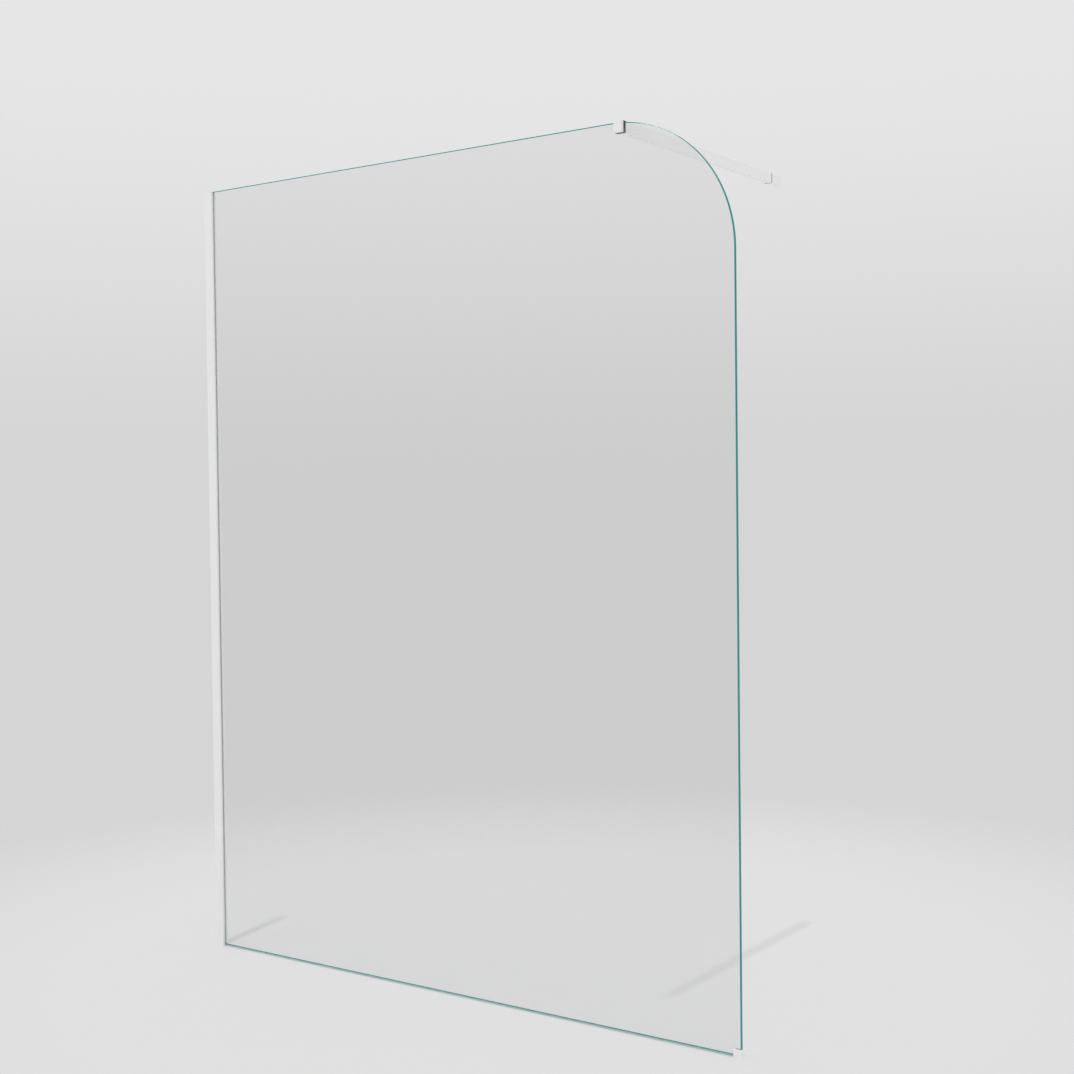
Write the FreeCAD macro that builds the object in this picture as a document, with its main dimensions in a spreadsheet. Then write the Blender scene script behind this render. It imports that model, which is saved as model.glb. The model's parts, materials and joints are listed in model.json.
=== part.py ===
import FreeCAD, Part
import os
import re
import Sketcher

# Walk-in shower screen: a fixed glass panel with one large rounded corner, held by a wall profile,
# a support bar with its wall bracket, and a floor shoe.
# X runs along the screen from the profile's back face, Y runs through the glass along the bar, and
# Z runs up from the profile's foot. Y is 0 in the middle of the glass. Millimetres.

SIZES = {
    # Glass panel
    "glass_width": 1560,
    "glass_height": 2000,
    "glass_thickness": 8,
    "corner_radius": 300,
    "glass_arris": 1.2,
    "glass_gap": 3,
    "glass_edge": 8,
    # Wall profile: a channel with in-turned lips and a rib behind each gasket
    "profile_depth": 25,
    "profile_wall": 2,
    "profile_web": 2.5,
    "profile_round": 0.8,
    "glazing_room": 5,
    "lip_depth": 2.5,
    "mouth_gap": 2,
    "gasket_seat": 7,
    "rib_depth": 1.5,
    "rib_height": 1.5,
    "screw_hole": 2.75,
    "screw_margin": 100.5,
    # Glazing gaskets
    "gasket_fit": 0.2,
    "gasket_nose": 0.4,
    "gasket_bevel": 1.5,
    # Cap on the profile's top end
    "cap_thickness": 2,
    "cap_plug": 12,
    "cap_plug_wall": 2.6,
    "cap_plug_leg": 8,
    "cap_fit": 0.2,
    "cap_slot_gap": 0.4,
    "cap_slot_end": 5.5,
    # Packer under the glass inside the wall profile
    "block_head": 10.5,
    "block_fit": 0.3,
    # Support bar
    "bar_width": 20,
    "bar_height": 25,
    "bar_round": 1.5,
    "bar_wall": 2.5,
    "bar_past_arc": 22,
    "wall_distance": 765,
    # Glass clamp
    "clamp_jaw": 9.5,
    "clamp_back": 18,
    "clamp_roof": 2,
    "clamp_drop": 2,
    "clamp_edge": 1,
    "clamp_spigot": 35,
    "clamp_liner": 1.5,
    "liner_proud": 0.8,
    "plate_thickness": 1.5,
    "plate_width": 16,
    "plate_height": 18,
    "plate_round": 2,
    "spigot_fit": 0.15,
    "spigot_round": 1,
    "key_bore": 4.4,
    # Clamp screw and set screws
    "clamp_screw_radius": 4,
    "clamp_screw_length": 12,
    "clamp_screw_socket": 4,
    "set_screw_radius": 2,
    "set_screw_socket": 2,
    "set_screw_bite": 2,
    "screw_fit": 0.05,
    "screw_bevel": 0.4,
    "front_screw_inset": 20,
    "rear_screw_inset": 15,
    "bracket_screw_inset": 13,
    # Collar and wall bracket at the bar's far end
    "collar_length": 2,
    "collar_proud": 0.5,
    "collar_fit": 0.2,
    "bracket_length": 54,
    "bracket_spigot": 51,
    "bracket_travel": 15,
    "groove_fit": 0.2,
    "boss_width": 14,
    "boss_height": 19,
    "boss_length": 25,
    "boss_round": 2,
    "boss_fit": 0.15,
    "boss_relief": 1,
    "boss_hole": 2.75,
    "boss_sink": 5.2,
    # Floor shoe
    "shoe_length": 19,
    "shoe_height": 17,
    "shoe_wall": 4.3,
    "shoe_end_wall": 2,
    "shoe_round": 1.5,
    "shoe_edge": 0.6,
    "shoe_liner": 2.2,
    "shoe_end_liner": 1,
    "shoe_liner_proud": 0.4,
    "shoe_pad": 1,
    "shoe_pad_fit": 0.3,
}

# Half the thickness of the glass, and the edges that other pieces line up with
GLASS_FACE = "(glass_thickness / 2)"
GLASS_TOP = "(glass_gap + glass_height)"
GLASS_END = "(glass_edge + glass_width)"

# Wall profile: across, from the middle of the glass, and along X, from its back face
INNER_WALL = f"({GLASS_FACE} + glazing_room)"
OUTER_WALL = f"({INNER_WALL} + profile_wall)"
MOUTH = f"({GLASS_FACE} + mouth_gap)"
LIP_BACK = "(profile_depth - lip_depth)"
RIB_FRONT = f"({LIP_BACK} - gasket_seat)"
RIB_BACK = f"({RIB_FRONT} - rib_depth)"
PROFILE_LENGTH = f"({GLASS_TOP} - cap_thickness)"

# Support bar: its axis stands just past the start of the glass's rounded corner
BAR_PLACE = f"({GLASS_END} - corner_radius + bar_past_arc)"
BAR_AXIS = f"({GLASS_TOP} + clamp_liner + clamp_roof - bar_height / 2)"

# Glass clamp: up and down from the bar's axis, with its foot a little lower than the bar
CLAMP_ROOF = "(bar_height / 2 - clamp_roof)"
CLAMP_FOOT = "(0 - bar_height / 2 - clamp_drop)"

# Support bar: places along Y from the middle of the glass
SLOT_FRONT = f"(0 - {GLASS_FACE} - clamp_liner)"
CLAMP_FRONT = f"({SLOT_FRONT} - clamp_jaw)"
LINER_BACK = f"({GLASS_FACE} + clamp_liner)"
SLOT_BACK = f"({LINER_BACK} + plate_thickness)"
CLAMP_END = f"({SLOT_BACK} + clamp_back)"
BRACKET_FRONT = "(wall_distance - bracket_length)"
BAR_END = f"({BRACKET_FRONT} - collar_length)"
FRONT_SCREW = f"({CLAMP_END} + front_screw_inset)"
REAR_SCREW = f"({BAR_END} - rear_screw_inset)"
BRACKET_SCREW = "(wall_distance - bracket_screw_inset)"

# Support bar: its bore, the spigots that fit it and the set screws that hold them
BORE_WIDTH = "(bar_width - 2 * bar_wall)"
BORE_HEIGHT = "(bar_height - 2 * bar_wall)"
SPIGOT_WIDTH = f"({BORE_WIDTH} - 2 * spigot_fit)"
SPIGOT_HEIGHT = f"({BORE_HEIGHT} - 2 * spigot_fit)"
SET_SCREW_HOLE = "(set_screw_radius + screw_fit)"
SET_SCREW_LENGTH = "(bar_wall + spigot_fit + set_screw_bite)"

# Floor shoe: along X from the profile's back, across from the middle of the glass, up from its foot
SHOE_SLOT_END = f"({GLASS_END} + shoe_end_liner)"
SHOE_END = f"({SHOE_SLOT_END} + shoe_end_wall)"
SHOE_START = f"({SHOE_END} - shoe_length)"
SHOE_SLOT = f"({GLASS_FACE} + shoe_liner)"
SHOE_SIDE = f"({SHOE_SLOT} + shoe_wall)"
SHOE_BASE = "(glass_gap - shoe_pad)"

# A regular hexagon's corner lies this far out for one unit across its flats
HEX_CORNER = 3 ** -0.5

doc = FreeCAD.newDocument("shower_screen")
sheet = doc.addObject("Spreadsheet::Sheet", "Sizes")
for row, (alias, value) in enumerate(SIZES.items(), start=1):
    sheet.set(f"A{row}", alias)
    sheet.set(f"B{row}", str(value))
    sheet.setAlias(f"B{row}", alias)
doc.recompute()

pieces = []


def bound(text):
    """The expression for the sheet: each word in the text is an alias there."""
    return re.sub(r"[a-z][a-z_]*", r"Sizes.\g<0>", text)


def size(text):
    """The value that an expression has now."""
    return float(sheet.evalExpression(bound(text)))


def new_piece(label, x="0", y="0", z="0", turn=0):
    """A body for one piece, turned about X by so many degrees and placed by three expressions."""
    body = doc.addObject("PartDesign::Body", label)
    body.Label = label
    body.Placement = FreeCAD.Placement(FreeCAD.Vector(), FreeCAD.Rotation(FreeCAD.Vector(1, 0, 0), turn))
    for axis, text in zip("xyz", (x, y, z)):
        body.setExpression(f"Placement.Base.{axis}", bound(text))
    pieces.append(body)
    return body


def sketch_on(body, role, name, offset="0"):
    """A sketch on one of the body's own origin planes, moved along the plane's normal."""
    sketch = body.newObject("Sketcher::SketchObject", f"{body.Label}_{name}_sketch")
    plane = next(item for item in body.Origin.OriginFeatures if item.Role == role)
    sketch.AttachmentSupport = [(plane, "")]
    sketch.MapMode = "FlatFace"
    sketch.setExpression("AttachmentOffset.Base.z", bound(offset))
    return sketch


def tie(sketch, constraint, text):
    """Adds a constraint whose value is an expression."""
    index = sketch.addConstraint(constraint)
    sketch.setExpression(f"Constraints[{index}]", bound(text))


def tie_point(sketch, geometry, end, x, y):
    """Ties one end of a line or arc, or a circle's centre, to two expressions."""
    tie(sketch, Sketcher.Constraint("DistanceX", -1, 1, geometry, end, size(x)), x)
    tie(sketch, Sketcher.Constraint("DistanceY", -1, 1, geometry, end, size(y)), y)


def step_along(start, end, radius):
    """The expressions of the point that lies one radius from start towards end, along X or Y."""
    moves = []
    for here, there in zip(start, end):
        gap = size(there) - size(here)
        sign = "+" if gap > 0 else "-"
        moves.append(f"({here}) {sign} ({radius})" if abs(gap) > 1e-6 else here)
    return tuple(moves)


def outline(sketch, corners):
    """Adds a closed loop through the corners. A corner with a third value is rounded by that radius,
    and the sides that meet there run along X and Y."""
    stops = []
    for index, corner in enumerate(corners):
        point = corner[:2]
        if len(corner) == 2:
            stops.append((point, None))
            continue
        before = corners[index - 1][:2]
        after = corners[(index + 1) % len(corners)][:2]
        stops.append((step_along(point, before, corner[2]), (point, corner[2])))
        stops.append((step_along(point, after, corner[2]), None))
    first = sketch.GeometryCount
    for index, (start, rounding) in enumerate(stops):
        end = stops[(index + 1) % len(stops)][0]
        a = FreeCAD.Vector(size(start[0]), size(start[1]), 0)
        b = FreeCAD.Vector(size(end[0]), size(end[1]), 0)
        if rounding is None:
            sketch.addGeometry(Part.LineSegment(a, b), False)
            continue
        corner = FreeCAD.Vector(size(rounding[0][0]), size(rounding[0][1]), 0)
        centre = a + b - corner
        middle = centre + (corner - centre).normalize() * size(rounding[1])
        sketch.addGeometry(Part.Arc(a, middle, b), False)
    count = len(stops)
    for index, (start, rounding) in enumerate(stops):
        geometry = first + index
        begin, finish = end_numbers(sketch, geometry, start)
        following = first + (index + 1) % count
        next_begin = end_numbers(sketch, following, stops[(index + 1) % count][0])[0]
        sketch.addConstraint(Sketcher.Constraint("Coincident", geometry, finish, following, next_begin))
        if rounding is not None:
            tie(sketch, Sketcher.Constraint("Radius", geometry, size(rounding[1])), rounding[1])
        tie_point(sketch, geometry, begin, *start)


def end_numbers(sketch, geometry, start):
    """Which end of a line or arc lies at the start point, and which is the other: an arc in a sketch
    always runs anticlockwise, so a clockwise one begins at its second end."""
    here = FreeCAD.Vector(size(start[0]), size(start[1]), 0)
    at_first = sketch.getPoint(geometry, 1).distanceToPoint(here)
    at_second = sketch.getPoint(geometry, 2).distanceToPoint(here)
    return (1, 2) if at_first <= at_second else (2, 1)


def rectangle(sketch, left, right, low, high, radius=None):
    """A rectangle between four expressions, with rounded corners if a radius is given."""
    places = ((left, low), (right, low), (right, high), (left, high))
    outline(sketch, [place if radius is None else (*place, radius) for place in places])


def middle_rectangle(sketch, width, height, radius=None):
    """A rectangle about the sketch's own origin."""
    rectangle(sketch, f"0 - {width} / 2", f"{width} / 2", f"0 - {height} / 2", f"{height} / 2", radius)


def circle(sketch, x, y, radius):
    """A circle tied by its centre and radius."""
    centre = FreeCAD.Vector(size(x), size(y), 0)
    geometry = sketch.addGeometry(Part.Circle(centre, FreeCAD.Vector(0, 0, 1), size(radius)), False)
    tie(sketch, Sketcher.Constraint("Radius", geometry, size(radius)), radius)
    tie_point(sketch, geometry, 3, x, y)


def hexagon(sketch, flats):
    """A regular hexagon about the sketch's origin, by its width across flats."""
    side = f"{flats} / 2"
    point = f"{flats} * {HEX_CORNER}"
    half_point = f"{flats} * {HEX_CORNER / 2}"
    right = [(side, f"0 - {half_point}"), (side, half_point), ("0", point)]
    left = [(f"0 - {side}", half_point), (f"0 - {side}", f"0 - {half_point}"), ("0", f"0 - {point}")]
    outline(sketch, right + left)


def extrude(kind, sketch, length, back=False, both_ways=False):
    """A Pad or Pocket of the sketch; back turns its direction round, and both_ways centres it."""
    body = sketch.getParentGeoFeatureGroup()
    before = 0 if body.Tip is None else body.Tip.Shape.Volume
    feature = body.newObject(f"PartDesign::{kind}", f"{sketch.Name}_{kind.lower()}")
    feature.Profile = sketch
    feature.setExpression("Length", bound(length))
    feature.Reversed = back
    feature.SideType = "Symmetric" if both_ways else "One side"
    doc.recompute()
    change = feature.Shape.Volume - before
    if abs(change) < 1e-3 or (change > 0) != (kind == "Pad"):
        raise RuntimeError(f"{feature.Name} changed the volume by {change:.4f}")
    return feature


def dress(kind, feature, length, wanted):
    """A Fillet or Chamfer on the feature's edges for which wanted is true."""
    body = feature.getParentGeoFeatureGroup()
    names = [f"Edge{n}" for n, edge in enumerate(feature.Shape.Edges, start=1) if wanted(edge)]
    dressed = body.newObject(f"PartDesign::{kind}", f"{feature.Name}_{kind.lower()}")
    dressed.Base = (feature, names)
    dressed.setExpression("Radius" if kind == "Fillet" else "Size", bound(length))
    doc.recompute()
    return dressed


def on_plane(axis, place):
    """A test for edges that lie wholly in the plane at this place along x, y or z."""
    where = size(place)

    def lies_there(edge):
        low = getattr(edge.BoundBox, f"{axis.upper()}Min")
        high = getattr(edge.BoundBox, f"{axis.upper()}Max")
        return abs(low - where) < 1e-4 and abs(high - where) < 1e-4

    return lies_there


# Wall profile, its cap, two gaskets and a packer
def make_wall_profile():
    body = new_piece("wall_profile")
    section = sketch_on(body, "XY_Plane", "section")
    half = [
        ("profile_web", INNER_WALL),
        (RIB_BACK, INNER_WALL),
        (RIB_BACK, f"{INNER_WALL} - rib_height"),
        (RIB_FRONT, f"{INNER_WALL} - rib_height"),
        (RIB_FRONT, INNER_WALL),
        (LIP_BACK, INNER_WALL),
        (LIP_BACK, MOUTH),
        ("profile_depth", MOUTH),
        ("profile_depth", OUTER_WALL, "profile_round"),
        ("0", OUTER_WALL),
    ]
    mirrored = [(x, f"0 - ({y})", *radius) for x, y, *radius in reversed(half)]
    outline(section, half + mirrored)
    extrude("Pad", section, PROFILE_LENGTH)
    holes = sketch_on(body, "YZ_Plane", "screw_holes")
    for step in range(4):
        height = f"screw_margin + {step} * ({PROFILE_LENGTH} - 2 * screw_margin) / 3"
        circle(holes, "0", height, "screw_hole")
    extrude("Pocket", holes, "profile_web", back=True)


def make_profile_end_cap():
    body = new_piece("profile_end_cap", z=PROFILE_LENGTH)
    plate = sketch_on(body, "XY_Plane", "plate")
    slot = f"({GLASS_FACE} + cap_slot_gap)"
    upper = [
        ("cap_slot_end", slot),
        ("profile_depth", slot),
        ("profile_depth", OUTER_WALL, "profile_round"),
        ("0", OUTER_WALL),
    ]
    lower = [(x, f"0 - ({y})", *radius) for x, y, *radius in reversed(upper)]
    outline(plate, upper + lower)
    extrude("Pad", plate, "cap_thickness")
    plug = sketch_on(body, "XY_Plane", "plug")
    web = "profile_web + cap_fit"
    side = f"{INNER_WALL} - cap_fit"
    leg = f"{web} + cap_plug_wall"
    reach = f"{web} + cap_plug_leg"
    inner = f"{side} - cap_plug_wall"
    upper = [(leg, inner), (reach, inner), (reach, side), (web, side)]
    lower = [(x, f"0 - ({y})") for x, y in reversed(upper)]
    outline(plug, upper + lower)
    extrude("Pad", plug, "cap_plug", back=True)


def make_glazing_gasket(label, turn, z):
    body = new_piece(label, z=z, turn=turn)
    section = sketch_on(body, "XY_Plane", "section")
    heel = f"{RIB_FRONT} + gasket_fit"
    shoulder = f"{LIP_BACK} - gasket_fit"
    nose = "profile_depth + gasket_nose"
    lip = f"{MOUTH} - gasket_fit"
    outline(
        section,
        [
            (heel, INNER_WALL),
            (heel, f"{GLASS_FACE} + gasket_bevel"),
            (f"{heel} + gasket_bevel", GLASS_FACE),
            (nose, GLASS_FACE),
            (nose, lip),
            (shoulder, lip),
            (shoulder, INNER_WALL),
        ],
    )
    extrude("Pad", section, PROFILE_LENGTH)


def make_setting_block():
    body = new_piece("setting_block")
    plan = sketch_on(body, "XY_Plane", "plan")
    start = "profile_web + block_fit"
    neck = f"{start} + block_head"
    head_side = f"{INNER_WALL} - block_fit"
    neck_side = f"{GLASS_FACE} - block_fit"
    end = "profile_depth"
    upper = [(end, neck_side), (neck, neck_side), (neck, head_side), (start, head_side)]
    lower = [(x, f"0 - ({y})") for x, y in reversed(upper)]
    outline(plan, upper + lower)
    extrude("Pad", plan, "glass_gap")


# The glass panel, drawn from its lower corner in the profile
def make_glass_panel():
    body = new_piece("glass_panel", x="glass_edge", z="glass_gap")
    face = sketch_on(body, "XZ_Plane", "face")
    outline(
        face,
        [
            ("0", "0"),
            ("glass_width", "0"),
            ("glass_width", "glass_height", "corner_radius"),
            ("0", "glass_height"),
        ],
    )
    panel = extrude("Pad", face, "glass_thickness", both_ways=True)
    front = on_plane("y", f"0 - {GLASS_FACE}")
    back = on_plane("y", GLASS_FACE)
    dress("Chamfer", panel, "glass_arris", lambda edge: front(edge) or back(edge))


# Support bar: pieces on the bar's axis, which runs along Y
def new_bar_piece(label):
    return new_piece(label, x=BAR_PLACE, z=BAR_AXIS)


def bar_block(body, name, start, end, width, height, radius):
    """A length of rounded rectangular section from start to end along the bar."""
    section = sketch_on(body, "XZ_Plane", name, offset=f"0 - ({start})")
    middle_rectangle(section, width, height, radius)
    return extrude("Pad", section, f"({end}) - ({start})", back=True)


def bar_pocket(body, name, start, end, draw):
    """Cuts what draw adds to a sketch across the bar, from start to end along the bar."""
    section = sketch_on(body, "XZ_Plane", name, offset=f"0 - ({start})")
    draw(section)
    return extrude("Pocket", section, f"({end}) - ({start})")


def set_screw_hole(body, place):
    """The tapped hole for a set screw, from the bar's axis down through its lower wall."""
    plan = sketch_on(body, "XY_Plane", "set_screw_hole")
    circle(plan, "0", place, SET_SCREW_HOLE)
    extrude("Pocket", plan, "bar_height / 2")


def make_glass_clamp():
    body = new_bar_piece("glass_clamp")
    section = sketch_on(body, "XZ_Plane", "block", offset=f"0 - ({CLAMP_FRONT})")
    rectangle(section, "0 - bar_width / 2", "bar_width / 2", CLAMP_FOOT, "bar_height / 2", "bar_round")
    block = extrude("Pad", section, f"{CLAMP_END} - {CLAMP_FRONT}", back=True)
    dress("Fillet", block, "clamp_edge", on_plane("y", CLAMP_FRONT))
    spigot_end = f"{CLAMP_END} + clamp_spigot"
    bar_block(body, "spigot", CLAMP_END, spigot_end, SPIGOT_WIDTH, SPIGOT_HEIGHT, "spigot_round")
    slot = sketch_on(body, "YZ_Plane", "slot")
    rectangle(slot, SLOT_FRONT, SLOT_BACK, f"{CLAMP_FOOT} - bar_height", CLAMP_ROOF)
    extrude("Pocket", slot, "2 * bar_width", both_ways=True)
    thread_end = f"{SLOT_BACK} + clamp_screw_length"
    thread = "clamp_screw_radius + screw_fit"
    bar_pocket(body, "thread", SLOT_BACK, thread_end, lambda sketch: circle(sketch, "0", "0", thread))
    bar_pocket(body, "key_bore", thread_end, spigot_end, lambda sketch: circle(sketch, "0", "0", "key_bore"))
    dimple = sketch_on(body, "XY_Plane", "dimple", offset=f"0 - {SPIGOT_HEIGHT} / 2")
    circle(dimple, "0", FRONT_SCREW, "set_screw_radius + groove_fit")
    extrude("Pocket", dimple, "set_screw_bite", back=True)


def make_clamp_gasket():
    body = new_bar_piece("clamp_gasket")
    profile = sketch_on(body, "YZ_Plane", "profile")
    foot = f"{CLAMP_FOOT} - liner_proud"
    inner_roof = f"{CLAMP_ROOF} - clamp_liner"
    outline(
        profile,
        [
            (SLOT_FRONT, foot),
            (f"0 - {GLASS_FACE}", foot),
            (f"0 - {GLASS_FACE}", inner_roof),
            (GLASS_FACE, inner_roof),
            (GLASS_FACE, foot),
            (LINER_BACK, foot),
            (LINER_BACK, CLAMP_ROOF),
            (SLOT_FRONT, CLAMP_ROOF),
        ],
    )
    extrude("Pad", profile, "bar_width + 2 * liner_proud", both_ways=True)


def make_clamp_pressure_plate():
    body = new_bar_piece("clamp_pressure_plate")
    bar_block(body, "plate", LINER_BACK, SLOT_BACK, "plate_width", "plate_height", "plate_round")


def make_screw(label, radius, length, socket, x, y, z, turn=0):
    """A headless screw from its socket end at the origin to its tip up the Z axis."""
    body = new_piece(label, x=x, y=y, z=z, turn=turn)
    round_bar = sketch_on(body, "XY_Plane", "shank")
    circle(round_bar, "0", "0", radius)
    shank = extrude("Pad", round_bar, length)
    low = on_plane("z", "0")
    high = on_plane("z", length)
    dress("Chamfer", shank, "screw_bevel", lambda edge: low(edge) or high(edge))
    key = sketch_on(body, "XY_Plane", "socket")
    hexagon(key, socket)
    extrude("Pocket", key, f"{socket} / 2 + screw_bevel", back=True)


def make_clamp_screw():
    rear = f"{SLOT_BACK} + clamp_screw_length"
    sizes = ("clamp_screw_radius", "clamp_screw_length", "clamp_screw_socket")
    make_screw("clamp_screw", *sizes, x=BAR_PLACE, y=rear, z=BAR_AXIS, turn=90)


def make_set_screw(label, place, length):
    """A set screw that comes up through the bar's lower wall, flush with its underside."""
    low = f"{BAR_AXIS} - bar_height / 2"
    make_screw(label, "set_screw_radius", length, "set_screw_socket", x=BAR_PLACE, y=place, z=low)


def make_support_bar():
    body = new_bar_piece("support_bar")
    bar_block(body, "outside", CLAMP_END, BAR_END, "bar_width", "bar_height", "bar_round")
    bar_pocket(
        body,
        "inside",
        CLAMP_END,
        BAR_END,
        lambda sketch: middle_rectangle(sketch, BORE_WIDTH, BORE_HEIGHT, "spigot_round"),
    )
    holes = sketch_on(body, "XY_Plane", "set_screw_holes")
    for place in (FRONT_SCREW, REAR_SCREW):
        circle(holes, "0", place, SET_SCREW_HOLE)
    extrude("Pocket", holes, "bar_height / 2")


def make_bar_collar():
    body = new_bar_piece("bar_collar")
    width = "(bar_width + 2 * collar_proud)"
    height = "(bar_height + 2 * collar_proud)"
    bar_block(body, "ring", BAR_END, BRACKET_FRONT, width, height, "bar_round + collar_proud")
    hole_width = f"({SPIGOT_WIDTH} + 2 * collar_fit)"
    hole_height = f"({SPIGOT_HEIGHT} + 2 * collar_fit)"
    bar_pocket(
        body,
        "hole",
        BAR_END,
        BRACKET_FRONT,
        lambda sketch: middle_rectangle(sketch, hole_width, hole_height, "spigot_round"),
    )


def make_wall_bracket():
    body = new_bar_piece("wall_bracket")
    bar_block(body, "block", BRACKET_FRONT, "wall_distance", "bar_width", "bar_height", "bar_round")
    spigot_start = f"{BRACKET_FRONT} - bracket_spigot"
    bar_block(body, "spigot", spigot_start, BRACKET_FRONT, SPIGOT_WIDTH, SPIGOT_HEIGHT, "spigot_round")
    width = "(boss_width + 2 * boss_fit)"
    height = "(boss_height + 2 * boss_fit)"
    bar_pocket(
        body,
        "boss_pocket",
        "wall_distance - boss_length - boss_relief",
        "wall_distance",
        lambda sketch: middle_rectangle(sketch, width, height, "boss_round"),
    )
    set_screw_hole(body, BRACKET_SCREW)
    groove = sketch_on(body, "XY_Plane", "groove", offset=f"0 - {SPIGOT_HEIGHT} / 2")
    side = "(set_screw_radius + groove_fit)"
    groove_end = f"{REAR_SCREW} + {side}"
    rectangle(groove, f"0 - {side}", side, f"{REAR_SCREW} - {side} - bracket_travel", groove_end)
    extrude("Pocket", groove, "set_screw_bite", back=True)


def make_wall_boss():
    body = new_bar_piece("wall_boss")
    start = "(wall_distance - boss_length)"
    bar_block(body, "block", start, "wall_distance", "boss_width", "boss_height", "boss_round")
    bar_pocket(body, "hole", start, "wall_distance", lambda sketch: circle(sketch, "0", "0", "boss_hole"))
    mouth = on_plane("y", start)

    def hole_edge(edge):
        return mouth(edge) and isinstance(edge.Curve, Part.Circle) and edge.Closed

    dress("Chamfer", body.Tip, "boss_sink - boss_hole", hole_edge)
    dimple = sketch_on(body, "XY_Plane", "dimple", offset="0 - boss_height / 2")
    circle(dimple, "0", BRACKET_SCREW, "set_screw_radius + groove_fit")
    extrude("Pocket", dimple, "set_screw_bite", back=True)


# Floor shoe and what lines it
def make_floor_shoe():
    body = new_piece("floor_shoe")
    plan = sketch_on(body, "XY_Plane", "plan")
    rectangle(plan, SHOE_START, SHOE_END, f"0 - {SHOE_SIDE}", SHOE_SIDE, "shoe_round")
    block = extrude("Pad", plan, "shoe_height")
    dress("Fillet", block, "shoe_edge", on_plane("z", "shoe_height"))
    slot = sketch_on(body, "XY_Plane", "slot", offset=SHOE_BASE)
    rectangle(slot, f"{SHOE_START} - shoe_length", SHOE_SLOT_END, f"0 - {SHOE_SLOT}", SHOE_SLOT)
    extrude("Pocket", slot, "shoe_height", back=True)


def make_shoe_gasket():
    body = new_piece("shoe_gasket", z="glass_gap")
    plan = sketch_on(body, "XY_Plane", "plan")
    upper = [
        (SHOE_START, GLASS_FACE),
        (GLASS_END, GLASS_FACE),
    ]
    lower = [(x, f"0 - ({y})") for x, y in reversed(upper)]
    outside = [
        (SHOE_START, f"0 - {SHOE_SLOT}"),
        (SHOE_SLOT_END, f"0 - {SHOE_SLOT}"),
        (SHOE_SLOT_END, SHOE_SLOT),
        (SHOE_START, SHOE_SLOT),
    ]
    outline(plan, upper + lower + outside)
    extrude("Pad", plan, "shoe_height - glass_gap + shoe_liner_proud")


def make_shoe_setting_pad():
    body = new_piece("shoe_setting_pad", z=SHOE_BASE)
    plan = sketch_on(body, "XY_Plane", "plan")
    side = f"({SHOE_SLOT} - shoe_pad_fit)"
    rectangle(plan, f"{SHOE_START} + shoe_pad_fit", f"{SHOE_SLOT_END} - shoe_pad_fit", f"0 - {side}", side)
    extrude("Pad", plan, "shoe_pad")


make_wall_profile()
make_profile_end_cap()
make_glazing_gasket("rear_glazing_gasket", turn=0, z="0")
make_glazing_gasket("front_glazing_gasket", turn=180, z=PROFILE_LENGTH)
make_setting_block()
make_glass_panel()
make_glass_clamp()
make_clamp_gasket()
make_clamp_pressure_plate()
make_clamp_screw()
make_support_bar()
make_set_screw("bar_front_set_screw", FRONT_SCREW, SET_SCREW_LENGTH)
make_bar_collar()
make_set_screw("bar_rear_set_screw", REAR_SCREW, SET_SCREW_LENGTH)
make_wall_bracket()
make_wall_boss()
make_set_screw("bracket_set_screw", BRACKET_SCREW, "bar_height / 2 - boss_height / 2 + set_screw_bite")
make_floor_shoe()
make_shoe_gasket()
make_shoe_setting_pad()

doc.recompute()
for item in doc.Objects:
    if "Invalid" in item.State or "Error" in item.State:
        raise RuntimeError(f"{item.Label} did not recompute")
for piece in pieces:
    if piece.Shape.isNull() or not piece.Shape.isValid():
        raise RuntimeError(f"{piece.Label} has no valid shape")

os.makedirs("parts", exist_ok=True)
for piece in pieces:
    piece.Shape.exportStep(f"parts/{piece.Label}.step")
print(f"{len(pieces)} pieces written")
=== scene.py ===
# %% [markdown]
# # A walk-in shower screen, dressed in Blender
#
# The screen is one fixed sheet of clear glass with a large rounded corner. A slim white profile holds
# one side of it, a white bar steadies its top edge, and a small white shoe carries its free corner.
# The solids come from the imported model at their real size, so this lesson adds what solids can't
# show: polished glass, powder coat, rubber, bare metal, light and a camera.

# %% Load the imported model
import json
import math

import bmesh
import bpy
from mathutils import Matrix, Vector


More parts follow.
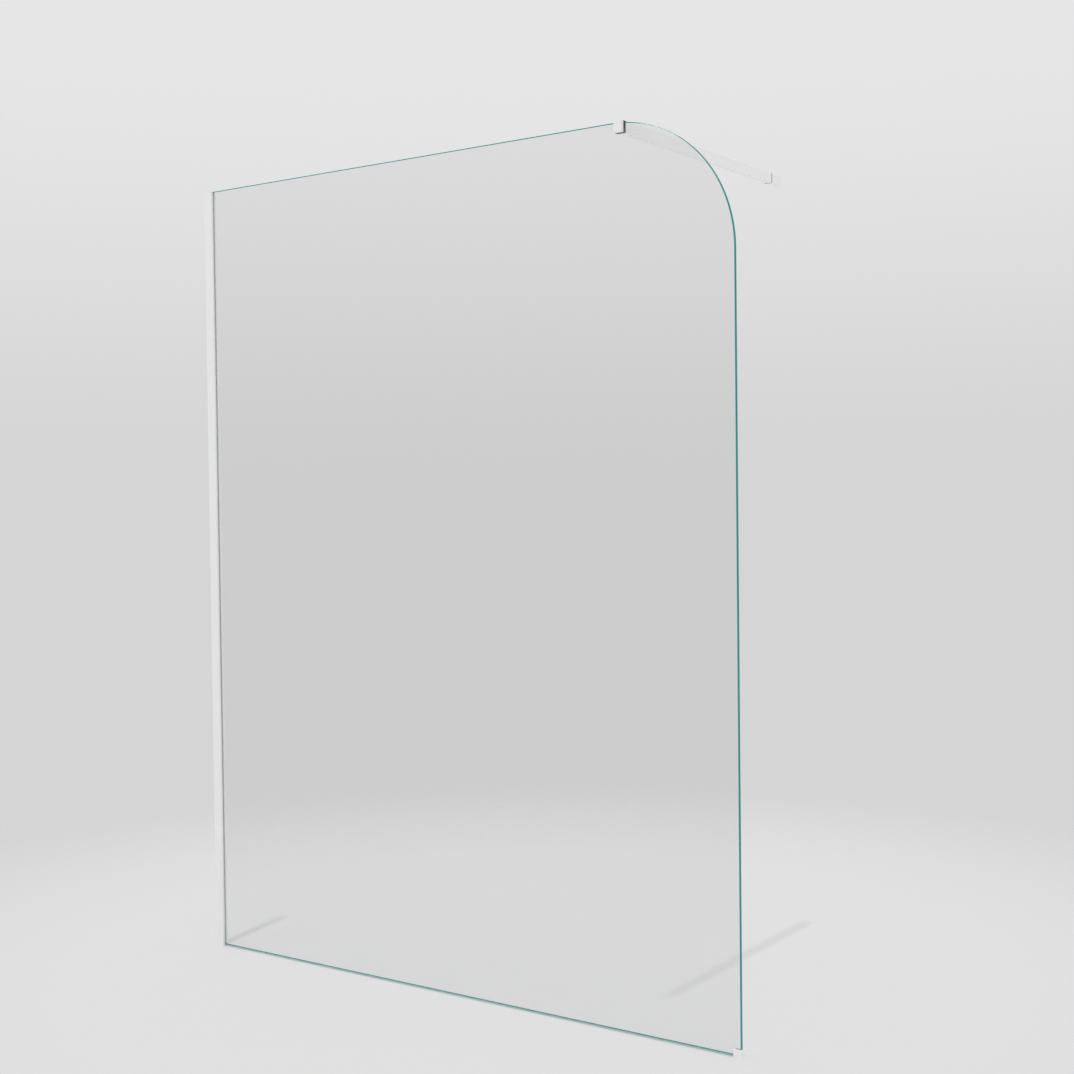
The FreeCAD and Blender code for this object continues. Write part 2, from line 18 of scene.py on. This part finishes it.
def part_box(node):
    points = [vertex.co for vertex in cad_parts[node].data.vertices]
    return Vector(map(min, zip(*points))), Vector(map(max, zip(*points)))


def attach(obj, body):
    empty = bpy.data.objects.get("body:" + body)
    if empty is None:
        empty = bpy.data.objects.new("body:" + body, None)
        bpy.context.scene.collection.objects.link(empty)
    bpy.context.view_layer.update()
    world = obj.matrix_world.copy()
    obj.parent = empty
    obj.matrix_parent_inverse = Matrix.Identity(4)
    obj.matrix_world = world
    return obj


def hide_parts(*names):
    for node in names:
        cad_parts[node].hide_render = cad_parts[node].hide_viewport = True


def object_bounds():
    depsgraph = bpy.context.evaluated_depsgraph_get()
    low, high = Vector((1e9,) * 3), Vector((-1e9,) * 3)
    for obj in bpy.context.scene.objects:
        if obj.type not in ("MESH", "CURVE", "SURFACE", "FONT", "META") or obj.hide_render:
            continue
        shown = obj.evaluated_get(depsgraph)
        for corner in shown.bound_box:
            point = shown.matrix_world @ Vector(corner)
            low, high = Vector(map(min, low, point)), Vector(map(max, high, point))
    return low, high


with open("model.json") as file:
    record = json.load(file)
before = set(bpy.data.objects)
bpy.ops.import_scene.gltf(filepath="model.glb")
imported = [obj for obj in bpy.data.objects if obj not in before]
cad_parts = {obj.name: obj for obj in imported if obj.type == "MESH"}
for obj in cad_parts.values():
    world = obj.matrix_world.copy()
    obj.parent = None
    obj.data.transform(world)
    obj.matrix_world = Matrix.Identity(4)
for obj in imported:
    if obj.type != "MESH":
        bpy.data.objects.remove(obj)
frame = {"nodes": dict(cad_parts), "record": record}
nodes = frame["nodes"]
cad_low, cad_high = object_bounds()
print(f"{len(nodes)} solids in a box of {[round(side, 4) for side in cad_high - cad_low]} m")

# %% [markdown]
# ## The glass sheet
#
# The real sheet is cut, its corner is ground round, and then all its edges are polished flat with a
# narrow slope, called an arris, along each rim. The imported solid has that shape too, but it is one
# skin with one finish. Glass looks quite different from the side: light that enters the faces is
# caught inside and leaves through the edges, which glow green. So the sheet is modelled again, as a
# glass worker would make it: a plain box, one corner rounded by a bevel, then a small bevel along
# both rims. Its faces then take one finish and its edges another. The box is a hair smaller than the
# solid, so that a film of air lies between the glass and the rubber that grips it: two skins in one
# place would hide each other by chance.

# %% Measure the sheet
MILLIMETRE = 0.001
AIR_GAP = 0.02 * MILLIMETRE

panel_low, panel_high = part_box("glass_panel")
film = Vector((AIR_GAP, AIR_GAP, AIR_GAP))
sheet_low = panel_low + film
sheet_high = panel_high - film
sheet_size = sheet_high - sheet_low
half_thickness = sheet_size.y / 2
print(f"glass {sheet_size.x:.3f} wide, {sheet_size.z:.3f} high and {sheet_size.y:.4f} thick")


# %% A helper that selects edges by their place
def select_edges(mesh, wanted):
    """In edit mode, selects just the edges for whose two end points wanted is true."""
    bpy.ops.mesh.select_mode(type="EDGE")
    bpy.ops.mesh.select_all(action="DESELECT")
    shape = bmesh.from_edit_mesh(mesh)
    for edge in shape.edges:
        edge.select_set(wanted(edge.verts[0].co, edge.verts[1].co))
    bmesh.update_edit_mesh(mesh)


# %% Cut the sheet to size
bpy.ops.object.select_all(action="DESELECT")
bpy.ops.mesh.primitive_cube_add(size=1, location=(sheet_low + sheet_high) / 2)
glass_sheet = bpy.context.object
glass_sheet.name = "glass_sheet"
glass_sheet.scale = sheet_size
bpy.ops.object.transform_apply(location=True, rotation=True, scale=True)
print("the blank has", len(glass_sheet.data.vertices), "corners")

# %% Grind the free top corner round
CORNER_RADIUS = 300 * MILLIMETRE
CORNER_STEPS = 64
ROUND_PROFILE = 0.5
SAME_PLACE = 0.01 * MILLIMETRE


def on_free_corner(a, b):
    """True for the edge through the sheet at its free top corner."""
    return all(
        abs(point.x - sheet_high.x) < SAME_PLACE and abs(point.z - sheet_high.z) < SAME_PLACE
        for point in (a, b)
    )


bpy.ops.object.mode_set(mode="EDIT")
select_edges(glass_sheet.data, on_free_corner)
bpy.ops.mesh.bevel(offset=CORNER_RADIUS, segments=CORNER_STEPS, profile=ROUND_PROFILE, affect="EDGES")
print("the corner is round with", CORNER_STEPS, "steps")

# %% Polish the arris along both rims
ARRIS = 1.2 * MILLIMETRE
SMOOTH_BELOW = math.radians(20)


def on_one_rim(a, b):
    """True for an edge that lies in the sheet's front or back face."""
    return any(
        abs(a.y - side) < SAME_PLACE and abs(b.y - side) < SAME_PLACE
        for side in (sheet_low.y, sheet_high.y)
    )


select_edges(glass_sheet.data, on_one_rim)
bpy.ops.mesh.bevel(offset=ARRIS, segments=1, affect="EDGES")
bpy.ops.mesh.select_all(action="SELECT")
bpy.ops.mesh.normals_make_consistent(inside=False)
bpy.ops.object.mode_set(mode="OBJECT")
bpy.ops.object.shade_smooth_by_angle(angle=SMOOTH_BELOW)
print("the sheet has", len(glass_sheet.data.polygons), "faces")

# %% [markdown]
# ## Sums for shaders
#
# A finish is a small network of nodes. Drawing the wires by hand is slow to read in a script, so a
# small class stands for one output of a node. Python's own signs then do the sums: an expression
# such as `0.3 + 0.1 * grain` adds the Math nodes that it needs.


# %% A wire between shader nodes
class Wire:
    """One output of a shader node. Sums on wires add Math nodes to the same tree."""

    def __init__(self, socket):
        self.socket = socket

    @staticmethod
    def add(tree, kind, settings=None, inputs=None, output=0):
        """Adds any node: first its settings, then the values or wires of its sockets."""
        node = tree.nodes.new(kind)
        for name, value in (settings or {}).items():
            setattr(node, name, value)
        for name, value in (inputs or {}).items():
            if isinstance(value, Wire):
                tree.links.new(value.socket, node.inputs[name])
            else:
                node.inputs[name].default_value = value
        return None if output is None else Wire(node.outputs[output])

    def other(self, output):
        """Another output of the same node."""
        return Wire(self.socket.node.outputs[output])

    def maths(self, operation, *values):
        """A Math node that does one operation on these values."""
        inputs = dict(enumerate(values))
        return Wire.add(self.socket.id_data, "ShaderNodeMath", {"operation": operation}, inputs)

    def __add__(self, value):
        return self.maths("ADD", self, value)

    def __radd__(self, value):
        return self.maths("ADD", value, self)

    def __mul__(self, value):
        return self.maths("MULTIPLY", self, value)

    def __rmul__(self, value):
        return self.maths("MULTIPLY", value, self)

    def __abs__(self):
        return self.maths("ABSOLUTE", self)


print("sums on wires are ready")


# %% Helpers that start a finish and show it
def new_finish(name):
    """A new material with an empty node tree."""
    material = bpy.data.materials.new(name)
    material.use_nodes = True
    material.node_tree.nodes.clear()
    return material, material.node_tree


def surface(tree, **looks):
    """A Principled surface: each look is a socket's name in small letters, with its value or wire."""
    inputs = {}
    for name, value in looks.items():
        inputs[name.replace("_", " ").title().replace("Ior", "IOR")] = value
    return Wire.add(tree, "ShaderNodeBsdfPrincipled", inputs=inputs)


def see_through(tree, colour=(1, 1, 1, 1)):
    """A shader that lets all light pass and tints it."""
    return Wire.add(tree, "ShaderNodeBsdfTransparent", inputs={"Color": colour})


def blend(tree, share, first, second):
    """A shader between two, by a share from 0 to 1."""
    return Wire.add(tree, "ShaderNodeMixShader", inputs={0: share, 1: first, 2: second})


def show(tree, shader, output="ShaderNodeOutputMaterial"):
    """Sends a shader to the output of a material, or of the world."""
    Wire.add(tree, output, inputs={"Surface": shader}, output=None)


print("finishes can be started and shown")

# %% Helpers that draw patterns
# A Mix node has sockets for each kind of value. These are its places for colours.
MIX_SHARE = 0
MIX_FIRST = 6
MIX_SECOND = 7
MIX_RESULT = 2


def place_on(tree, stretch=(1, 1, 1)):
    """The place on the piece, in metres, with each axis scaled to draw a pattern out."""
    place = Wire.add(tree, "ShaderNodeTexCoord", output="Object")
    return Wire.add(tree, "ShaderNodeMapping", inputs={"Vector": place, "Scale": stretch})


def grain(tree, place, scale, detail=2.0):
    """Soft noise from 0 to 1, with so many waves in a metre."""
    inputs = {"Vector": place, "Scale": scale, "Detail": detail}
    return Wire.add(tree, "ShaderNodeTexNoise", inputs=inputs)


def between(tree, share, first, second):
    """A colour between two, by a share from 0 to 1."""
    inputs = {MIX_SHARE: share, MIX_FIRST: first, MIX_SECOND: second}
    return Wire.add(tree, "ShaderNodeMix", {"data_type": "RGBA"}, inputs, MIX_RESULT)


def relief(tree, height, depth):
    """A normal that shows a height of 0 to 1 as so many metres."""
    return Wire.add(tree, "ShaderNodeBump", inputs={"Height": height, "Distance": depth})


def ramp(tree, value, start, end):
    """A smooth step from 0 to 1 as the value goes from start to end."""
    settings = {"interpolation_type": "SMOOTHSTEP"}
    inputs = {"Value": value, "From Min": start, "From Max": end}
    return Wire.add(tree, "ShaderNodeMapRange", settings, inputs)


print("patterns can be drawn")

# %% [markdown]
# ## Clear glass
#
# The faces are clear, smooth glass that takes away a little light. A Principled surface with full
# transmission bends what is behind it as real glass does. Lamps can't find their way through bent
# glass, so rays that look for a lamp meet a plain see-through shader instead, and the glass casts the
# faint shadow that a real sheet casts. Rays that gather soft light for the floor and the seals pass
# straight through in the same way: bent by the glass, they would find the grey that the camera sees
# in place of the white light all round, and all that stands near the sheet would look dull. Toughened
# glass is never quite flat: the rollers of the oven leave long, very shallow waves, which a little
# relief gives to its reflections.

# %% Finish for the faces of the glass
GLASS_TINT = (0.91, 0.914, 0.912, 1)
LAMP_TINT = (0.99, 0.994, 0.992, 1)
GLASS_IOR = 1.5
ROLLER_WAVES = 4
ROLLER_STRETCH = (0.25, 1, 1)
ROLLER_WAVE_DEPTH = 0.02 * MILLIMETRE


def let_through(tree, kind, shader, colour):
    """The shader for all that looks at it, and plain see-through colour for one kind of ray."""
    ray = Wire.add(tree, "ShaderNodeLightPath", output=kind)
    return blend(tree, ray, shader, see_through(tree, colour))


def make_clear_glass():
    """Smooth glass with shallow waves, which lamps and soft light pass."""
    material, tree = new_finish("clear_glass_face")
    waves = grain(tree, place_on(tree, ROLLER_STRETCH), ROLLER_WAVES, detail=0)
    glass = surface(
        tree,
        base_color=GLASS_TINT,
        roughness=0.0,
        ior=GLASS_IOR,
        transmission_weight=1.0,
        normal=relief(tree, waves, ROLLER_WAVE_DEPTH),
    )
    lit = let_through(tree, "Is Shadow Ray", glass, LAMP_TINT)
    show(tree, let_through(tree, "Is Diffuse Ray", lit, LAMP_TINT))
    return material


clear_glass = make_clear_glass()
print("made", clear_glass.name)

# %% [markdown]
# ## Polished edge
#
# From the side the iron in the glass shows as a deep blue-green. Real light would bounce along the
# sheet hundreds of times before it leaves the edge, far more than a render follows, so the edge is
# given the colour of the light that comes out: a painted glow, green from the iron's own colour. The
# painted glow is darkest in the middle of the thickness and lighter on the two arrises, and long faint
# streaks run along it from the polishing wheel.

# %% Finish for the edges of the glass
# The two edge colours are a painted glow: they stand in for the light that leaves a real glass edge.
EDGE_DEEP = (0.0, 0.21, 0.2, 1)
EDGE_LIGHT = (0.004, 0.31, 0.29, 1)
EDGE_GLOW = (0.98, 1, 1, 1)
EDGE_GLOSS = 0.3
EDGE_ROUGHNESS = 0.08
STREAK_ROUGHNESS = 0.1
STREAKS = 40
STREAK_STRETCH = (0.04, 30, 0.04)
STREAK_SHARE = 0.4
RIM_START = 0.3 * half_thickness
RIM_SHARE = 0.5


def make_polished_edge():
    """A deep green edge with a painted glow, lighter towards its rims, with the wheel's streaks along
    it.
    """
    material, tree = new_finish("polished_glass_edge")
    place = place_on(tree)
    across = abs(Wire.add(tree, "ShaderNodeSeparateXYZ", inputs={"Vector": place}, output="Y"))
    # Painted glow: lighter on the arrises than in the middle of the thickness.
    rim = ramp(tree, across, RIM_START, half_thickness)
    streak = grain(tree, place_on(tree, STREAK_STRETCH), STREAKS)
    tone = rim * RIM_SHARE + streak * STREAK_SHARE
    edge = surface(
        tree,
        base_color=between(tree, tone, EDGE_DEEP, EDGE_LIGHT),
        roughness=EDGE_ROUGHNESS + STREAK_ROUGHNESS * streak,
        specular_ior_level=EDGE_GLOSS,
    )
    show(tree, let_through(tree, "Is Shadow Ray", edge, EDGE_GLOW))
    return material


polished_edge = make_polished_edge()
print("made", polished_edge.name)

# %% Put both finishes on the sheet
FACE_SLOT = 0
EDGE_SLOT = 1
SQUARE_ON = 0.99

glass_sheet.data.materials.append(clear_glass)
glass_sheet.data.materials.append(polished_edge)
for polygon in glass_sheet.data.polygons:
    polygon.material_index = FACE_SLOT if abs(polygon.normal.y) > SQUARE_ON else EDGE_SLOT
edge_faces = sum(polygon.material_index == EDGE_SLOT for polygon in glass_sheet.data.polygons)
print(edge_faces, "edge faces and", len(glass_sheet.data.polygons) - edge_faces, "clear faces")

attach(glass_sheet, "glass")
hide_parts("glass_panel")

# %% [markdown]
# ## White powder coat
#
# The profile, clamp, bar, bracket and shoe are aluminium with a baked white powder coat. The powder
# melts into a smooth skin with a fine ripple, like the peel of an orange. A ripple of about a
# millimetre and a satin gloss make the difference between coated metal and plain white paint, so
# both come from noise at the real scale, with a slow drift of tone over longer lengths.

# %% Finish for the coated metal
COAT_WHITES = ((0.84, 0.84, 0.835, 1), (0.88, 0.88, 0.875, 1))
COAT_ROUGHNESS = 0.3
PEEL_ROUGHNESS = 0.12
PEEL_RIPPLES = 900
PEEL_DEPTH = 0.012 * MILLIMETRE
TONE_DRIFTS = 7


def make_powder_coat():
    """A satin white coat with a fine ripple."""
    material, tree = new_finish("white_powder_coat")
    place = place_on(tree)
    peel = grain(tree, place, PEEL_RIPPLES)
    drift = grain(tree, place, TONE_DRIFTS)
    coat = surface(
        tree,
        base_color=between(tree, drift, *COAT_WHITES),
        roughness=COAT_ROUGHNESS + PEEL_ROUGHNESS * peel,
        normal=relief(tree, peel, PEEL_DEPTH),
    )
    show(tree, coat)
    return material


powder_coat = make_powder_coat()
print("made", powder_coat.name)

# %% [markdown]
# ## Mouldings and seals
#
# The cap and the packers are moulded plastic, with the fine grain of a spark-eroded mould. The seals
# are extruded rubber: faint lines run along them, as the die left them, and the surface is dull. Most
# of them are pale, so that they don't show. The lining of the clamp and the collar at the bar's far
# end are dark, and draw a fine line where one piece ends and the next begins.

# %% Finish for moulded plastic
CAP_WHITES = ((0.82, 0.82, 0.81, 1), (0.87, 0.87, 0.86, 1))
COLLAR_DARKS = ((0.17, 0.17, 0.17, 1), (0.22, 0.22, 0.22, 1))
PACKER_GREYS = ((0.6, 0.6, 0.58, 1), (0.7, 0.7, 0.68, 1))
SATIN = 0.35
DULL = 0.45
MOULD_GRAINS = 1600
MOULD_GRAIN_DETAIL = 3
MOULD_GRAIN_ROUGHNESS = 0.15
MOULD_GRAIN_DEPTH = 0.02 * MILLIMETRE
MOULD_CLOUDS = 60


def make_moulding(name, tones, roughness):
    """Plastic with the grain of its mould, clouded between two tones."""
    material, tree = new_finish(name)
    place = place_on(tree)
    mould_grain = grain(tree, place, MOULD_GRAINS, MOULD_GRAIN_DETAIL)
    cloud = grain(tree, place, MOULD_CLOUDS)
    plastic = surface(
        tree,
        base_color=between(tree, cloud, *tones),
        roughness=roughness + MOULD_GRAIN_ROUGHNESS * mould_grain,
        normal=relief(tree, mould_grain, MOULD_GRAIN_DEPTH),
    )
    show(tree, plastic)
    return material


white_moulding = make_moulding("white_moulding", CAP_WHITES, SATIN)
dark_collar = make_moulding("dark_collar", COLLAR_DARKS, DULL)
grey_packer = make_moulding("grey_packer", PACKER_GREYS, DULL)
print("made", [finish.name for finish in (white_moulding, dark_collar, grey_packer)])

# %% Finish for extruded seals
# A pattern with a small scale along one axis is drawn out along it.
ALONG_X = (0.02, 1, 1)
ALONG_Y = (1, 0.02, 1)
ALONG_Z = (1, 1, 0.02)

SEAL_GREYS = ((0.69, 0.7, 0.7, 1), (0.75, 0.76, 0.76, 1))
LINING_DARKS = ((0.125, 0.128, 0.128, 1), (0.18, 0.183, 0.183, 1))
SEAL_ROUGHNESS = 0.5
BLOOM_ROUGHNESS = 0.25
BLOOMS = 90
BLOOM_DETAIL = 4
BLOOM_SHARE = 0.5
DIE_LINES = 1200
DIE_LINE_DEPTH = 0.03 * MILLIMETRE
DIE_LINE_SHARE = 0.5


def make_seal(name, tones, stretch):
    """Dull rubber with the lines of its die along it and a faint bloom."""
    material, tree = new_finish(name)
    die_lines = grain(tree, place_on(tree, stretch), DIE_LINES)
    bloom = grain(tree, place_on(tree), BLOOMS, BLOOM_DETAIL)
    tone = DIE_LINE_SHARE * die_lines + BLOOM_SHARE * bloom
    rubber = surface(
        tree,
        base_color=between(tree, tone, *tones),
        roughness=SEAL_ROUGHNESS + BLOOM_ROUGHNESS * bloom,
        normal=relief(tree, die_lines, DIE_LINE_DEPTH),
    )
    show(tree, rubber)
    return material


pale_seal = make_seal("grey_extruded_seal", SEAL_GREYS, ALONG_Z)
dark_lining = make_seal("dark_clamp_lining", LINING_DARKS, ALONG_X)
print("made", [finish.name for finish in (pale_seal, dark_lining)])

# %% [markdown]
# ## Bare metal
#
# The screws are turned steel and the boss inside the bracket is plain drawn aluminium. Both are mostly
# hidden, but they show from below and when the bracket is drawn out. Fine scratches that run one way
# set how they shine.

# %% Finish for bare metal
STEEL_GREYS = ((0.5, 0.5, 0.5, 1), (0.66, 0.66, 0.65, 1))
ALUMINIUM_GREYS = ((0.68, 0.68, 0.69, 1), (0.8, 0.8, 0.81, 1))
METAL_ROUGHNESS = 0.24
SCRATCH_ROUGHNESS = 0.22
SCRATCHES = 1500
SCRATCH_DETAIL = 4
SCRATCH_DEPTH = 0.008 * MILLIMETRE


def make_metal(name, tones, stretch):
    """Bare metal with fine scratches that run one way."""
    material, tree = new_finish(name)
    scratches = grain(tree, place_on(tree, stretch), SCRATCHES, SCRATCH_DETAIL)
    metal = surface(
        tree,
        base_color=between(tree, scratches, *tones),
        metallic=1.0,
        roughness=METAL_ROUGHNESS + SCRATCH_ROUGHNESS * scratches,
        normal=relief(tree, scratches, SCRATCH_DEPTH),
    )
    show(tree, metal)
    return material


turned_steel = make_metal("turned_steel", STEEL_GREYS, ALONG_X)
drawn_aluminium = make_metal("drawn_aluminium", ALUMINIUM_GREYS, ALONG_Y)
print("made", [finish.name for finish in (turned_steel, drawn_aluminium)])

# %% [markdown]
# ## Dress the solids
#
# The record lists which finish each piece has, by a slot's name. One loop then dresses every packed
# solid, so that no piece is forgotten and pieces of one material match.

# %% Give each solid its finish
finishes = {
    "white_coat": powder_coat,
    "white_plastic": white_moulding,
    "grey_seal": pale_seal,
    "dark_seal": dark_lining,
    "dark_plastic": dark_collar,
    "packer_plastic": grey_packer,
    "clear_glass": clear_glass,
    "screw_steel": turned_steel,
    "bare_aluminium": drawn_aluminium,
}
for subpart in frame["record"]["subparts"]:
    for slot in nodes[subpart["node"]].material_slots:
        slot.material = finishes[subpart["material_slot"]]

# %% [markdown]
# ## Floor
#
# A pale floor carries the screen and catches its shadow. It is quite dull, so that it mirrors no lamp
# from any side. It is a disc that fades out a few metres away, so that it melts into the background
# with no line of a horizon.

# %% Make the floor
FLOOR_RADIUS = 9.0
FLOOR_CORNERS = 96
FLOOR_CLEAR_FROM = 1.1
FLOOR_CLEAR_AT = 2.6
FLOOR_COLOUR = (0.765, 0.765, 0.765, 1)

middle = (cad_low + cad_high) / 2
floor_centre = (middle.x, middle.y, 0)


def make_floor_finish():
    """Dull and pale round the screen, and clear further out."""
    material, tree = new_finish("pale_floor")
    settings = {"operation": "DISTANCE"}
    inputs = {0: place_on(tree), 1: floor_centre}
    away = Wire.add(tree, "ShaderNodeVectorMath", settings, inputs, output="Value")
    fade = ramp(tree, away, FLOOR_CLEAR_FROM, FLOOR_CLEAR_AT)
    pale = surface(tree, base_color=FLOOR_COLOUR, roughness=1.0, specular_ior_level=0.0)
    show(tree, blend(tree, fade, pale, see_through(tree)))
    return material


bpy.ops.object.select_all(action="DESELECT")
bpy.ops.mesh.primitive_circle_add(
    vertices=FLOOR_CORNERS, radius=FLOOR_RADIUS, fill_type="NGON", location=floor_centre
)
floor = bpy.context.object
floor.name = "floor"
bpy.ops.object.transform_apply(location=True, rotation=True, scale=True)
floor.data.materials.append(make_floor_finish())
floor.visible_shadow = False
print("the floor fades out", FLOOR_CLEAR_AT, "m from the screen")

# %% [markdown]
# ## Light
#
# Soft light from all round comes from the world, as in a photographer's light tent. A lamp nearly
# overhead draws the bar's shadow on the floor, and a very wide one in front lifts the faces that look
# forwards. A third shines up from below, as light does that a pale floor throws back, and lifts the
# underside of the bar. The floor lets that one pass, because it casts no shadow itself. A fourth
# lights nothing and shows only in gloss, as a bright panel overhead does: where the rounded corner
# turns towards it, the green line along the glass fades. All four are far away, so that they reach
# the screen evenly. What the camera sees behind the screen, directly, in a reflection or through the
# glass, is a plain pale grey that is a little lighter towards the top.

# %% Surround the screen with soft light
AIR_LIGHT = 0.79
AIR_COLOUR = (1, 1, 1, 1)
BACKDROP_LOW = (0.665, 0.665, 0.665, 1)
BACKDROP_HIGH = (0.79, 0.79, 0.79, 1)

# The heights between which the backdrop grows lighter: 0 is level and 1 is straight up.
BACKDROP_FROM = 0.0
BACKDROP_TO = 0.27


def make_world():
    """White light for the screen, and a pale grey backdrop for all that looks past it."""
    world = bpy.data.worlds.new("studio")
    world.use_nodes = True
    tree = world.node_tree
    tree.nodes.clear()
    ray = Wire.add(tree, "ShaderNodeTexCoord", output="Generated")
    height = Wire.add(tree, "ShaderNodeSeparateXYZ", inputs={"Vector": ray}, output="Z")
    lighter = ramp(tree, height, BACKDROP_FROM, BACKDROP_TO)
    grey = between(tree, lighter, BACKDROP_LOW, BACKDROP_HIGH)
    seen = Wire.add(tree, "ShaderNodeBackground", inputs={"Color": grey})
    light = Wire.add(tree, "ShaderNodeBackground", inputs={"Color": AIR_COLOUR, "Strength": AIR_LIGHT})
    path = Wire.add(tree, "ShaderNodeLightPath", output="Is Camera Ray")
    looking = path + path.other("Is Glossy Ray") + path.other("Is Transmission Ray")
    show(tree, blend(tree, looking, light, seen), "ShaderNodeOutputWorld")
    return world


bpy.context.scene.world = make_world()
print("the world gives", AIR_LIGHT, "of soft light")


# %% Add the lamps
def add_lamp(name, towards, spread, strength, gloss=False):
    """A lamp far away, so many degrees wide. It lights and stays unseen, or only shows in gloss."""
    lamp = bpy.data.lights.new(name, "SUN")
    lamp.angle = math.radians(spread)
    lamp.energy = strength
    holder = bpy.data.objects.new(name, lamp)
    holder.visible_diffuse = not gloss
    holder.visible_glossy = gloss
    holder.visible_transmission = False
    holder.rotation_euler = Vector(towards).to_track_quat("Z", "Y").to_euler()
    bpy.context.scene.collection.objects.link(holder)


add_lamp("ceiling_lamp", towards=(0.03, -0.14, 1), spread=1.2, strength=0.47)
add_lamp("front_fill", towards=(0.55, -1, 0.4), spread=120, strength=0.32)
add_lamp("floor_glow", towards=(0, 0, -1), spread=90, strength=0.35)
add_lamp("ceiling_panel", towards=(-0.2, -0.1, 0.97), spread=26, strength=1.2, gloss=True)
print("four lamps add shape")

# %% [markdown]
# ## Camera
#
# The camera stands where the photograph was taken from. Its place, its turns and its lens were worked
# out from the edges of the glass, whose sizes are known. A new camera looks straight down, so a
# quarter turn lifts it to the horizon first.

# %% Place the camera
CAMERA_PLACE = (3.1085, -2.9331, 1.1890)
CAMERA_TURN_LEFT = 34.985
CAMERA_LIFT = 90
CAMERA_TILT = -1.472
CAMERA_ROLL = -0.647
CAMERA_LENS = 52.64


def turn(degrees, axis):
    """A turn about one axis."""
    return Matrix.Rotation(math.radians(degrees), 4, axis)


camera = bpy.data.objects.new("camera", bpy.data.cameras.new("camera"))
camera.data.lens = CAMERA_LENS
camera.matrix_world = (
    Matrix.Translation(CAMERA_PLACE)
    @ turn(CAMERA_TURN_LEFT, "Z")
    @ turn(CAMERA_LIFT, "X")
    @ turn(CAMERA_ROLL, "Z")
    @ turn(CAMERA_TILT, "X")
)
bpy.context.scene.collection.objects.link(camera)
bpy.context.scene.camera = camera
bpy.context.scene.view_settings.view_transform = "Standard"
print("the camera looks along", [round(value, 3) for value in -camera.matrix_world.col[2].xyz])
